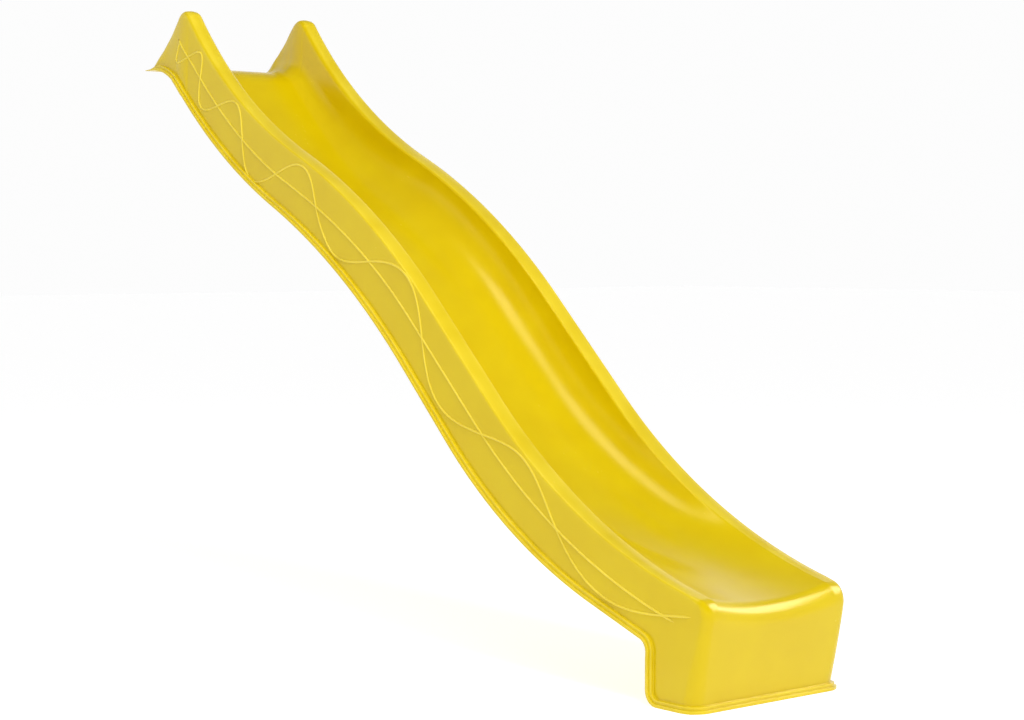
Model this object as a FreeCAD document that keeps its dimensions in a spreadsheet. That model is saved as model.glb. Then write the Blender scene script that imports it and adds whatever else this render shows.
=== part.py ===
import FreeCAD, Part
import Sketcher
import os
from math import radians, sin, cos, tan
from FreeCAD import Placement, Rotation, Vector

# Wave slide for a garden play tower, in millimetres.
# +X runs downhill, +Y is to the left of someone sliding down, +Z is up. The origin is the centre of the
# underside of the head flange, where the slide lies on the deck, so the ground is at -deck_height.
# The slide is one moulding: a thin shell, open underneath, with two hollow side rails, a chute between
# them, an out-turned double lip along its lower edge and a box-shaped foot at the exit.

SIZES = [
    ("deck_height", 1495, "ground to deck surface"),
    ("exit_height", 245, "ground to the rails where they end at the nose"),
    ("body_width", 434, "across the outer faces of the rails"),
    ("chute_width", 338, "across the chute between the rails"),
    ("wall", 4.5, "wall thickness"),
    ("rim_radius", 6, "rounding of the outer rail edge"),
    ("bed_radius", 42, "fillet between bed and chute wall"),
    ("flange_depth", 68, "head flange, from its back edge to where it leaves the deck"),
    ("crest_length", 129, "flat bed from the flange's back edge to the crest"),
    ("crest_radius", 130, "bed rounding at the crest"),
    ("flare_radius", 25, "flare between flange and hump"),
    ("hump_height", 152.5, "hump above the flange"),
    ("hump_radius", 40, "rounding of the hump top"),
    ("hump_slope", 45, "slope of the hump's back, degrees"),
    ("head_lip_radius", 190, "curve of the lower lip where it leaves the deck"),
    ("nose_radius", 44, "rounding of the exit nose"),
    ("nose_lean", 11, "lean of the front face, degrees"),
    ("foot_length", 135, "foot, from its back edge to the front wall at the ground"),
    ("foot_back_radius", 32, "rounding at the bottom of the foot's back edge"),
    ("foot_corner_radius", 30, "rounding between skirt edge and foot"),
    ("lip_step", 6, "thickness of each of the two lips"),
    ("lower_lip_width", 15, "lower lip, out from the wall"),
    ("upper_lip_width", 8, "upper lip, out from the wall"),
    ("front_lower_lip_width", 12, "lower lip across the foot's front"),
    ("front_upper_lip_width", 6, "upper lip across the foot's front"),
    ("lug_length", 60, "foot lug along the slide"),
    ("lug_width", 42, "foot lug across the slide"),
    ("lug_thickness", 5, "foot lug thickness"),
    ("peg_hole_radius", 5.5, "hole for a ground peg"),
    ("screw_spacing", 110, "between neighbouring head screws"),
    ("neck_radius", 2.9, "plain neck of a head screw"),
    ("neck_reach", 2, "neck below the flange"),
    ("shank_radius", 3.5, "threaded shank of a head screw"),
    ("shank_length", 36, "threaded shank of a head screw"),
    ("tip_chamfer", 2.6, "chamfer at the screw's tip"),
    ("head_radius", 7.5, "head screw head"),
    ("head_height", 3.6, "head screw head"),
    ("socket_width", 5, "hexagon socket across flats"),
    ("socket_depth", 2.2, "hexagon socket"),
    ("screw_clearance", 0.6, "around the shank, in washer and flange"),
    ("washer_radius", 11, "outer radius of a washer"),
    ("washer_thickness", 1.5, "thickness of a washer"),
]

# The long curves are chains of arcs, each tangent to the straight before it. A row holds the straight,
# the arc's radius and the downhill slope in degrees at its end. The straights and radii suit a wave
# of natural size, and are scaled together so that it spans from the hump to the nose.
WAVES = {
    "rail": (50.75, [(0, 1424, 24.37), (25, 1957, 43.56), (351, 1531, 13.5)]),
    "bed": (45.0, [(0, 1765, 24.5), (12, 1600, 43.5), (232, 1500, 13.5)]),
    "skirt": (44.8, [(0, 1783, 26.3), (45, 2136, 44.4), (247, 1431, 19.5)]),
}
BEYOND = 200.0    # how far cutting bodies run past what they cut
SCREW_PLACES = [("left", 1), ("centre", 0), ("right", -1)]


def make_sheet(doc):
    sheet = doc.addObject("Spreadsheet::Sheet", "Sizes")
    for row, (alias, value, note) in enumerate(SIZES, start=1):
        sheet.set("A%d" % row, alias)
        sheet.set("B%d" % row, str(value))
        sheet.set("C%d" % row, note)
        sheet.setAlias("B%d" % row, alias)
    doc.recompute()
    return sheet


class Path:
    """A run of straights and tangent arcs in the XZ plane. Headings are degrees above the horizontal."""

    def __init__(self, x, z, heading):
        self.spot = Vector(x, 0, z)
        self.heading = heading
        self.moves = []

    def direction(self, heading):
        return Vector(cos(radians(heading)), 0, sin(radians(heading)))

    def normal(self, heading):
        return Vector(-sin(radians(heading)), 0, cos(radians(heading)))

    def straight(self, length):
        if length > 1e-6:
            self.moves.append((self.spot, self.heading, length, None))
            self.spot = self.spot + self.direction(self.heading) * length
        return self

    def arc(self, radius, heading):
        side = 1 if heading > self.heading else -1
        self.moves.append((self.spot, self.heading, heading, radius * side))
        centre = self.spot + self.normal(self.heading) * (radius * side)
        self.spot = centre - self.normal(heading) * (radius * side)
        self.heading = heading
        return self

    def wave(self, name, scale):
        for length, radius, slope in WAVES[name][1]:
            self.straight(length * scale)
            self.arc(radius * scale, -slope)
        return self

    def edges(self, shift=0.0):
        """The path's edges, moved sideways by shift: up for a path that runs downhill."""
        made = []
        for spot, heading, amount, radius in self.moves:
            start = spot + self.normal(heading) * shift
            if radius is None:
                made.append(Part.LineSegment(start, start + self.direction(heading) * amount).toShape())
                continue
            centre = spot + self.normal(heading) * radius
            middle = centre - self.normal((heading + amount) / 2) * (radius - shift)
            end = centre - self.normal(amount) * (radius - shift)
            made.append(Part.Arc(start, middle, end).toShape())
        return made


def closed_face(*runs):
    """A face bounded by the given runs of edges, with straights across the gaps between them."""
    edges = []
    for run in runs:
        if edges:
            gap_start, gap_end = edges[-1].lastVertex(True).Point, run[0].firstVertex(True).Point
            if gap_start.distanceToPoint(gap_end) > 1e-6:
                edges.append(Part.LineSegment(gap_start, gap_end).toShape())
        edges.extend(run)
    gap_start, gap_end = edges[-1].lastVertex(True).Point, edges[0].firstVertex(True).Point
    if gap_start.distanceToPoint(gap_end) > 1e-6:
        edges.append(Part.LineSegment(gap_start, gap_end).toShape())
    return Part.Face(Part.Wire(edges))


def point_run(*points):
    """Straight edges through the points, given as (x, z) pairs."""
    spots = [Vector(x, 0, z) for x, z in points]
    return [Part.LineSegment(a, b).toShape() for a, b in zip(spots, spots[1:])]


def across(face, half_width):
    """The face, pulled to half_width on both sides of the middle plane."""
    low = face.copy()
    low.translate(Vector(0, -half_width, 0))
    return low.extrude(Vector(0, 2 * half_width, 0))


def drop_of(name):
    """How far a wave falls at its natural size."""
    path = Path(0, 0, -WAVES[name][0])
    path.wave(name, 1.0)
    return -path.spot.z


class Profile:
    """The slide's side view: the paths of rail, bed and lower edge, and the places that follow from them."""

    def __init__(self, v):
        self.back = -v.flange_depth / 2
        self.ground = -v.deck_height
        flange_top = v.wall
        self.rail = self.rail_head(v, flange_top)
        self.scale = (self.rail.spot.z - self.ground - v.exit_height) / drop_of("rail")
        self.rail.wave("rail", self.scale)
        self.rail.arc(v.nose_radius, -90 - v.nose_lean)
        front = self.rail.spot
        self.rail.straight((front.z - self.ground) / cos(radians(v.nose_lean)))
        self.front = self.rail.spot.x
        self.bed = Path(self.back, flange_top, 0).straight(v.crest_length)
        self.bed.arc(v.crest_radius, -WAVES["bed"][0]).wave("bed", self.scale).straight(BEYOND * 2)
        self.skirt = self.lower_edge(v)

    def rail_head(self, v, flange_top):
        """From the flange's back edge up the hump's back and over its top."""
        bend = 1 - cos(radians(v.hump_slope))
        climb = v.hump_height - (v.flare_radius + v.hump_radius) * bend
        head = Path(self.back, flange_top, 0).arc(v.flare_radius, v.hump_slope)
        head.straight(climb / sin(radians(v.hump_slope)))
        return head.arc(v.hump_radius, -WAVES["rail"][0])

    def lower_edge(self, v):
        """From the flange's back edge along the skirt, down the foot's back and along the ground."""
        edge = Path(self.back, 0, 0).straight(v.flange_depth / 2)
        edge.arc(v.head_lip_radius, -WAVES["skirt"][0]).wave("skirt", self.scale)
        foot_back = self.front - v.foot_length
        turn = radians(90 + edge.heading)
        tangent = v.foot_corner_radius * tan(turn / 2)
        corner_x = foot_back - tangent * cos(radians(edge.heading))
        reach = (corner_x - edge.spot.x) / cos(radians(edge.heading))
        edge.straight(reach)
        edge.arc(v.foot_corner_radius, -90)
        edge.straight(edge.spot.z - self.ground - v.foot_back_radius)
        edge.arc(v.foot_back_radius, 0)
        return edge.straight(self.front - edge.spot.x)


def chute_cutter(v, profile, grow):
    """What is removed above the bed. Grown by a wall, it is the chute as seen from inside the shell."""
    top = v.hump_height + BEYOND
    bed = profile.bed.edges(-grow)
    start, end = bed[0].firstVertex(True).Point, bed[-1].lastVertex(True).Point
    lid = point_run((end.x, top), (start.x - BEYOND, top), (start.x - BEYOND, start.z))
    body = across(closed_face(bed, lid), v.chute_width / 2 + grow)
    half = v.chute_width / 2 + grow
    seams = [e for e in body.Edges if runs_along(e, bed, half)]
    return body.makeFillet(v.bed_radius + grow, seams)


def runs_along(edge, run, half):
    """Whether the edge is one of the run's edges, moved to half on either side."""
    middle = edge.valueAt((edge.FirstParameter + edge.LastParameter) / 2)
    if abs(abs(middle.y) - half) > 1e-4:
        return False
    flat = Part.Vertex(Vector(middle.x, 0, middle.z))
    return any(flat.distToShape(piece)[0] < 1e-4 for piece in run)


def rail_block(v, profile, inset):
    """The solid under the rails, run on below the lower edge. Inset by a wall, it is the shell's hollow."""
    half = v.body_width / 2 - inset
    top = profile.rail.edges(-inset)
    start, end = top[0].firstVertex(True).Point, top[-1].lastVertex(True).Point
    bottom = profile.ground - BEYOND
    under = point_run((end.x, bottom), (start.x, bottom))
    body = across(closed_face(top, under), half)
    seams = [e for e in body.Edges if runs_along(e, top, half)]
    return body.makeFillet(max(v.rim_radius - inset, 0.5), seams)


def lips(v, profile):
    """The two stepped lips that turn out along the lower edge, on both sides and across the foot's front."""
    pieces = []
    widths = [(v.lower_lip_width, v.front_lower_lip_width), (v.upper_lip_width, v.front_upper_lip_width)]
    for step, (width, front_width) in enumerate(widths):
        high = (step + 1) * v.lip_step
        low = -high
        root = v.wall * (step + 1) / 3
        inner = v.body_width / 2 - root
        outer = v.body_width / 2 + width
        strip = closed_face(profile.skirt.edges(low), backwards(profile.skirt.edges(high)))
        for side in (-1, 1):
            piece = strip.copy()
            piece.translate(Vector(0, side * inner, 0))
            pieces.append(piece.extrude(Vector(0, side * (outer - inner), 0)))
        front = Part.makeBox(root + front_width, 2 * outer - v.lip_step, high - low)
        front.translate(Vector(profile.front - root, -outer + v.lip_step / 2, profile.ground + low))
        pieces.append(front)
    return pieces


def backwards(run):
    """The same edges, run from end to start."""
    turned = []
    for edge in reversed(run):
        start, end = edge.lastVertex(True).Point, edge.firstVertex(True).Point
        if edge.Curve.TypeId == "Part::GeomLine":
            turned.append(Part.LineSegment(start, end).toShape())
        else:
            middle = edge.valueAt((edge.FirstParameter + edge.LastParameter) / 2)
            turned.append(Part.Arc(start, middle, end).toShape())
    return turned


def under_cutter(v, profile):
    """Everything below the lower edge and the ground."""
    edge = profile.skirt.edges()
    start, end = edge[0].firstVertex(True).Point, edge[-1].lastVertex(True).Point
    bottom = profile.ground - 2 * BEYOND
    run_on = point_run((end.x, end.z), (end.x + BEYOND, end.z), (end.x + BEYOND, bottom),
                       (start.x - BEYOND, bottom), (start.x - BEYOND, start.z))
    return across(closed_face(edge, run_on), v.body_width)


def lug_centres(v, profile):
    """Centres of the two peg holes in the foot."""
    x = profile.front - v.foot_length / 2
    y = v.body_width / 2 - v.wall - v.lug_width / 2
    return [Vector(x, side * y, profile.ground) for side in (-1, 1)]


def foot_lugs(v, profile):
    """Two flat lugs inside the foot, each with a hole for a ground peg."""
    pieces = []
    for centre in lug_centres(v, profile):
        reach = v.lug_width + v.wall / 2
        lug = Part.makeBox(v.lug_length, reach, v.lug_thickness)
        inner = -v.lug_width / 2 if centre.y > 0 else v.lug_width / 2 - reach
        lug.translate(centre + Vector(-v.lug_length / 2, inner, 0))
        hole = Part.makeCylinder(v.peg_hole_radius, v.lug_thickness, centre)
        pieces.append(lug.cut(hole))
    return pieces


def moulding_shape(v):
    """The whole one-piece shell."""
    profile = Profile(v)
    solid = rail_block(v, profile, 0).fuse(lips(v, profile))
    solid = solid.cut(chute_cutter(v, profile, 0)).cut(under_cutter(v, profile))
    hollow = rail_block(v, profile, v.wall).cut(chute_cutter(v, profile, v.wall))
    shell = solid.cut(hollow).fuse(foot_lugs(v, profile))
    for _, side in SCREW_PLACES:
        place = Vector(0, side * v.screw_spacing, -v.wall)
        shell = shell.cut(Part.makeCylinder(v.shank_radius + v.screw_clearance, 3 * v.wall, place))
    return shell.removeSplitter()


def add_moulding(doc, sheet):
    feature = doc.addObject("Part::Feature", "slide_moulding")
    feature.Shape = moulding_shape(sheet)
    feature.Placement = Placement()
    feature.Label = "slide_moulding"
    return feature


def plane_of(body, role):
    return next(f for f in body.Origin.OriginFeatures if f.Role == role)


def add_sketch(body, name, role):
    sketch = body.newObject("Sketcher::SketchObject", name)
    sketch.AttachmentSupport = [(plane_of(body, role), "")]
    sketch.MapMode = "FlatFace"
    return sketch


def add_ring(body, name, outer, inner=None):
    """A sketch of one circle, or two, with radii bound to expressions."""
    sketch = add_sketch(body, name, "XY_Plane")
    for number, radius in enumerate(r for r in (outer, inner) if r):
        circle = sketch.addGeometry(Part.Circle(Vector(0, 0, 0), Vector(0, 0, 1), 5.0 - 2 * number))
        sketch.addConstraint(Sketcher.Constraint("Coincident", circle, 3, -1, 1))
        bound = sketch.addConstraint(Sketcher.Constraint("Radius", circle, 5.0 - 2 * number))
        sketch.setExpression("Constraints[%d]" % bound, radius)
    return sketch


def add_pad(body, name, sketch, length, down=False):
    pad = body.newObject("PartDesign::Pad", name)
    pad.Profile = sketch
    pad.setExpression("Length", length)
    pad.Reversed = down
    return pad


def add_washer(doc, name, place):
    body = doc.addObject("PartDesign::Body", name)
    ring = add_ring(body, name + "_ring", "Sizes.washer_radius", "Sizes.shank_radius + Sizes.screw_clearance")
    add_pad(body, name + "_pad", ring, "Sizes.washer_thickness")
    return place_body(body, name, place, "Sizes.wall")


def add_screw(doc, name, place):
    """A pan-head screw with a hexagon socket. Its own zero is the underside of the head."""
    body = doc.addObject("PartDesign::Body", name)
    add_pad(body, name + "_head", add_ring(body, name + "_rim", "Sizes.head_radius"), "Sizes.head_height")
    neck_length = "Sizes.washer_thickness + Sizes.wall + Sizes.neck_reach"
    neck = add_ring(body, name + "_neck_ring", "Sizes.neck_radius")
    add_pad(body, name + "_neck", neck, neck_length, down=True)
    shank = add_ring(body, name + "_shank_ring", "Sizes.shank_radius")
    shank.setExpression("AttachmentOffset.Base.z", "-(%s)" % neck_length)
    thread = add_pad(body, name + "_shank", shank, "Sizes.shank_length", down=True)
    doc.recompute()
    tip = body.newObject("PartDesign::Chamfer", name + "_tip")
    edges = thread.Shape.Edges
    lowest = min(range(len(edges)), key=lambda i: edges[i].BoundBox.ZMax)
    tip.Base = (thread, ["Edge%d" % (lowest + 1)])
    tip.setExpression("Size", "Sizes.tip_chamfer")
    doc.recompute()
    socket = add_sketch(body, name + "_hexagon", "XY_Plane")
    socket.setExpression("AttachmentOffset.Base.z", "Sizes.head_height - Sizes.socket_depth")
    corners = [Vector(3 * cos(radians(60 * i)), 3 * sin(radians(60 * i)), 0) for i in range(6)]
    for i in range(6):
        socket.addGeometry(Part.LineSegment(corners[i], corners[(i + 1) % 6]))
    guide = socket.addGeometry(Part.Circle(Vector(0, 0, 0), Vector(0, 0, 1), 3), True)
    for i in range(6):
        socket.addConstraint(Sketcher.Constraint("Coincident", i, 2, (i + 1) % 6, 1))
        socket.addConstraint(Sketcher.Constraint("PointOnObject", i, 1, guide))
    for i in range(5):
        socket.addConstraint(Sketcher.Constraint("Equal", i, i + 1))
    socket.addConstraint(Sketcher.Constraint("Coincident", guide, 3, -1, 1))
    socket.addConstraint(Sketcher.Constraint("PointOnObject", 0, 1, -1))
    bound = socket.addConstraint(Sketcher.Constraint("Radius", guide, 3))
    socket.setExpression("Constraints[%d]" % bound, "Sizes.socket_width / 2 / cos(30 deg)")
    cut = body.newObject("PartDesign::Pocket", name + "_socket")
    cut.Profile = socket
    cut.Reversed = True
    cut.setExpression("Length", "Sizes.socket_depth")
    body.Tip = cut
    return place_body(body, name, place, "Sizes.wall + Sizes.washer_thickness")


def place_body(body, name, side, height):
    """Sets the piece over its hole in the flange."""
    body.Label = name
    body.setExpression("Placement.Base.y", "%d * Sizes.screw_spacing" % side)
    body.setExpression("Placement.Base.z", height)
    return body


def check(doc, pieces):
    for item in doc.Objects:
        if "Invalid" in item.State or "Error" in item.State:
            raise RuntimeError("%s failed: %s" % (item.Label, item.State))
    for piece in pieces:
        shape = piece.Shape
        if shape.isNull() or not shape.isValid() or len(shape.Solids) != 1:
            raise RuntimeError("%s is not one valid solid" % piece.Label)
        box = shape.BoundBox
        print("%-20s %9.1f cm3  x %.1f..%.1f  y %.1f..%.1f  z %.1f..%.1f" % (
            piece.Label, shape.Volume / 1000, box.XMin, box.XMax, box.YMin, box.YMax, box.ZMin, box.ZMax))


def main():
    doc = FreeCAD.newDocument("wave_slide")
    sheet = make_sheet(doc)
    pieces = [add_moulding(doc, sheet)]
    for name, side in SCREW_PLACES:
        pieces.append(add_washer(doc, "head_washer_" + name, side))
        pieces.append(add_screw(doc, "head_screw_" + name, side))
    doc.recompute()
    check(doc, pieces)
    os.makedirs("parts", exist_ok=True)
    for piece in pieces:
        piece.Shape.exportStep("parts/%s.step" % piece.Label)


main()
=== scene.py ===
from math import asin, cos, degrees, exp, hypot, pi, radians, sin, sqrt, tan

import bmesh
import bpy
from bpy.props import FloatProperty, FloatVectorProperty, PointerProperty
from mathutils import Matrix, Vector


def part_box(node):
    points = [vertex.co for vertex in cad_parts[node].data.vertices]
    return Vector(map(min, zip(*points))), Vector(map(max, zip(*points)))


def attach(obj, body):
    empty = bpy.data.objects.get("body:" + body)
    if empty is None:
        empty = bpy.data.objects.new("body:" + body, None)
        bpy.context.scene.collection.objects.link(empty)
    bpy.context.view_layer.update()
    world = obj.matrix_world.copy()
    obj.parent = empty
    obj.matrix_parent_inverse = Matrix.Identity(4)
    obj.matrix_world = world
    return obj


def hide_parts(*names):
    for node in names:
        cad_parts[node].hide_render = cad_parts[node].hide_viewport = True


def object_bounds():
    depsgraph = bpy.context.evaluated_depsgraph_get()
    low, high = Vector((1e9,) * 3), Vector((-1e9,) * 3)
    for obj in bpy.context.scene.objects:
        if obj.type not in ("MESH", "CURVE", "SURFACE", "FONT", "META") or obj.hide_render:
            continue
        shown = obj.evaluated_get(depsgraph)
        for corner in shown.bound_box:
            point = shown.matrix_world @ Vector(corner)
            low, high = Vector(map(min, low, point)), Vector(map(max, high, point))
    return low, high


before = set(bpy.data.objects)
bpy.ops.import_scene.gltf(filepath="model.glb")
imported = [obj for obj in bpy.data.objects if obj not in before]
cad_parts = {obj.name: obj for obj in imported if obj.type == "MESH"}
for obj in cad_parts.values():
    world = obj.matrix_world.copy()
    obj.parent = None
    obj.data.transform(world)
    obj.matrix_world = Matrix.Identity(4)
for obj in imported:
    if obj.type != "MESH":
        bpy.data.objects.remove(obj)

# A one-piece wave slide for a play tower, in metres. +X runs downhill, +Y is to the left of someone
# sliding down, +Z is up, and the origin is the middle of the head flange's underside, on the deck.

bl_info = {
    "name": "Wave Slide",
    "version": (1, 0, 0),
    "blender": (4, 5, 0),
    "location": "View3D > Sidebar > Wave Slide",
    "description": "Builds a moulded wave slide with its head fixings and a studio stage",
    "category": "Add Mesh",
}

CAD_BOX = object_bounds()
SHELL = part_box("slide_moulding")
SCREW_HOLE = 0.0041

# The long curves are chains of arcs, each tangent to the straight before it. A row holds the straight,
# the arc's radius and the downhill slope in degrees at its end.
RAIL_START = 50.75
RAIL_WAVE = [(0, 1.424, 24.37), (0.025, 1.957, 43.56), (0.351, 1.531, 13.5)]
BED_START = 45.0
BED_WAVE = [(0, 1.765, 24.5), (0.012, 1.6, 43.5), (0.232, 1.5, 13.5)]
SKIRT_START = 44.8
SKIRT_WAVE = [(0, 1.783, 26.3), (0.045, 2.136, 44.4), (0.247, 1.431, 19.5)]


# ---------------------------------------------------------------- settings

class SlideShape(bpy.types.PropertyGroup):
    """Sizes of the moulding"""
    deck_height: FloatProperty(name="Deck height", description="Ground to deck surface",
                               default=-SHELL[0][2], unit="LENGTH")
    wall: FloatProperty(name="Wall", description="Wall thickness", default=0.0045, unit="LENGTH")
    body_half: FloatProperty(name="Body half width", description="Middle plane to the outer rail face",
                             default=0.217, unit="LENGTH")
    chute_half: FloatProperty(name="Chute half width", description="Middle plane to the inner rail edge",
                              default=0.169, unit="LENGTH")
    flange_back: FloatProperty(name="Flange back edge", description="Back edge of the head flange along X",
                               default=SHELL[0][0], unit="LENGTH")
    hump_height: FloatProperty(name="Hump height", description="Hump above the flange",
                               default=0.1525, unit="LENGTH")
    hump_radius: FloatProperty(name="Hump radius", description="Rounding of the hump top",
                               default=0.040, unit="LENGTH")
    flare_radius: FloatProperty(name="Flare radius", description="Flare between flange and hump",
                                default=0.025, unit="LENGTH")
    crest_length: FloatProperty(name="Crest length", description="Flat bed up to the crest",
                                default=0.129, unit="LENGTH")
    crest_radius: FloatProperty(name="Crest radius", description="Bed rounding at the crest",
                                default=0.130, unit="LENGTH")
    head_lip_radius: FloatProperty(name="Head lip radius", description="Lower lip where it leaves the deck",
                                   default=0.190, unit="LENGTH")
    nose_radius: FloatProperty(name="Nose radius", description="Rounding of the exit nose",
                               default=0.044, unit="LENGTH")
    nose_lean: FloatProperty(name="Nose lean", description="Lean of the front face",
                             default=radians(11), subtype="ANGLE")
    foot_length: FloatProperty(name="Foot length", description="Foot from back edge to front wall",
                               default=0.135, unit="LENGTH")
    foot_back_radius: FloatProperty(name="Foot back radius", description="Bottom of the foot's back edge",
                                    default=0.034, unit="LENGTH")
    foot_corner_radius: FloatProperty(name="Foot top radius", description="Between skirt edge and foot",
                                      default=0.030, unit="LENGTH")
    bed_radius: FloatProperty(name="Bed fillet", description="Fillet between bed and chute wall at the crest",
                              default=0.050, unit="LENGTH")
    trough_radius: FloatProperty(name="Trough fillet", description="The same fillet down the slide",
                                 default=0.115, unit="LENGTH")
    dish_radius: FloatProperty(name="Exit dish radius", description="Dish of the bed across the nose",
                               default=0.860, unit="LENGTH")
    crisp_edge: FloatProperty(name="Rail edge radius", description="Rail edges along the slide",
                              default=0.0055, unit="LENGTH")
    soft_edge: FloatProperty(name="Hump edge radius", description="Rail edges over the humps",
                             default=0.014, unit="LENGTH")
    back_edge: FloatProperty(name="Hump back edge radius", description="Rail edges on the humps' backs",
                             default=0.022, unit="LENGTH")
    exit_edge: FloatProperty(name="Exit edge radius", description="Rail's inner edge at the exit",
                             default=0.030, unit="LENGTH")
    exit_half: FloatProperty(name="Exit half width", description="Middle plane to the rail at the exit",
                             default=0.180, unit="LENGTH")
    foot_corner: FloatProperty(name="Ground corner radius", description="Upright corners at the ground",
                               default=0.034, unit="LENGTH")
    corner_radius: FloatProperty(name="Front corner radius", description="Upright corners under the nose",
                                 default=0.021, unit="LENGTH")
    wall_draft: FloatProperty(name="Wall draft", description="Outer wall's lean in the mould",
                              default=radians(2.4), subtype="ANGLE")
    lower_lip: FloatProperty(name="Lower lip", description="Lower lip out from the rail face",
                             default=0.017, unit="LENGTH")
    upper_lip: FloatProperty(name="Upper lip", description="Upper lip out from the rail face",
                             default=0.0105, unit="LENGTH")
    lip_step: FloatProperty(name="Lip step", description="Thickness of each lip",
                            default=0.0075, unit="LENGTH")
    station_gap: FloatProperty(name="Mesh step", description="Distance between cross-sections",
                               default=0.008, unit="LENGTH")


class SlideRelief(bpy.types.PropertyGroup):
    """Sizes of the raised wave line on the outer walls"""
    rib_width: FloatProperty(name="Rib width", description="Width of a raised line",
                             default=0.0056, unit="LENGTH")
    rib_height: FloatProperty(name="Rib height", description="Height of a raised line",
                              default=0.0024, unit="LENGTH")
    centre_depth: FloatProperty(name="Line depth", description="Centre line below the rail edge",
                                default=0.071, unit="LENGTH")
    swing: FloatProperty(name="Swing", description="Wave to either side of the centre line",
                         default=0.062, unit="LENGTH")


class SlideColours(bpy.types.PropertyGroup):
    """Colours as sRGB"""
    moulding: FloatVectorProperty(name="Moulding", description="Polyethylene colour", size=3,
                                  subtype="COLOR_GAMMA", default=(0.835, 0.730, 0.0))
    # This pale colour stands partly for rubbing wear and partly for a painted highlight on the rail band, lip
    # edges and raised lines.
    rubbed_and_sheen: FloatVectorProperty(name="Rubbed edges", description="Polyethylene where it is rubbed pale",
                                size=3, subtype="COLOR_GAMMA", default=(0.91, 0.82, 0.26))
    steel: FloatVectorProperty(name="Steel", description="Stainless steel colour", size=3,
                               subtype="COLOR_GAMMA", default=(0.78, 0.77, 0.75))
    floor: FloatVectorProperty(name="Floor", description="Stage colour", size=3,
                               subtype="COLOR_GAMMA", default=(0.8, 0.8, 0.8))


# ---------------------------------------------------------------- small helpers

def linear(colour):
    """sRGB, as a hex string or three parts, turned to linear with an alpha of 1."""
    if isinstance(colour, str):
        colour = [int(colour[i:i + 2], 16) / 255 for i in (0, 2, 4)]
    parts = [c / 12.92 if c <= 0.04045 else ((c + 0.055) / 1.055) ** 2.4 for c in colour]
    return (*parts, 1.0)


def smooth(value, low, high):
    """0 below low, 1 above high, and an even curve between."""
    t = min(max((value - low) / (high - low), 0.0), 1.0)
    return t * t * (3 - 2 * t)


def mix(a, b, t):
    return a + (b - a) * t


def new_piece(name, bm, material, shade_angle=None):
    """An object from the bmesh, riding on the part, with its material."""
    mesh = bpy.data.meshes.new(name)
    bmesh.ops.recalc_face_normals(bm, faces=bm.faces)
    bm.to_mesh(mesh)
    bm.free()
    piece = bpy.data.objects.new(name, mesh)
    bpy.context.scene.collection.objects.link(piece)
    mesh.materials.append(material)
    mesh.polygons.foreach_set("use_smooth", [True] * len(mesh.polygons))
    if shade_angle:
        mesh.set_sharp_from_angle(angle=shade_angle)
    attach(piece, "root")
    return piece


# ---------------------------------------------------------------- side view

class Path:
    """A run of straights and tangent arcs in the XZ plane, with headings in degrees above level."""

    def __init__(self, x, z, heading):
        self.x, self.z, self.heading = x, z, heading
        self.moves = []
        self.length = 0.0

    def straight(self, length):
        if length > 0:
            self.moves.append((self.length, self.x, self.z, self.heading, length, 0.0))
            self.x += length * cos(radians(self.heading))
            self.z += length * sin(radians(self.heading))
            self.length += length
        return self

    def arc(self, radius, heading):
        turn = radians(heading - self.heading)
        side = radius if turn > 0 else -radius
        self.moves.append((self.length, self.x, self.z, self.heading, abs(turn) * radius, side))
        cx, cz = self.centre(self.moves[-1])
        self.x = cx + side * sin(radians(heading))
        self.z = cz - side * cos(radians(heading))
        self.heading = heading
        self.length += abs(turn) * radius
        return self

    def wave(self, rows):
        for length, radius, slope in rows:
            self.straight(length).arc(radius, -slope)
        return self

    def centre(self, move):
        _, x, z, heading, _, side = move
        return x - side * sin(radians(heading)), z + side * cos(radians(heading))

    def at(self, distance):
        """(x, z, heading) at that distance along the path."""
        distance = min(max(distance, 0.0), self.length)
        move = next(m for m in reversed(self.moves) if m[0] <= distance + 1e-9)
        start, x, z, heading, _, side = move
        along = distance - start
        if not side:
            return x + along * cos(radians(heading)), z + along * sin(radians(heading)), heading
        heading += degrees(along / side)
        cx, cz = self.centre(move)
        return cx + side * sin(radians(heading)), cz - side * cos(radians(heading)), heading

    def find(self, x):
        """Distance along the path at which it reaches x. The path must run forward there."""
        for start, x0, z0, heading, length, side in self.moves:
            end = self.at(start + length)[0]
            if x <= end + 1e-9:
                if not side:
                    return start + (x - x0) / cos(radians(heading))
                cx, _ = self.centre((start, x0, z0, heading, length, side))
                new_heading = degrees(asin(min(max((x - cx) / side, -1), 1)))
                return start + radians(new_heading - heading) * side
        return self.length

    def at_x(self, x):
        return self.at(self.find(x))


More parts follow.
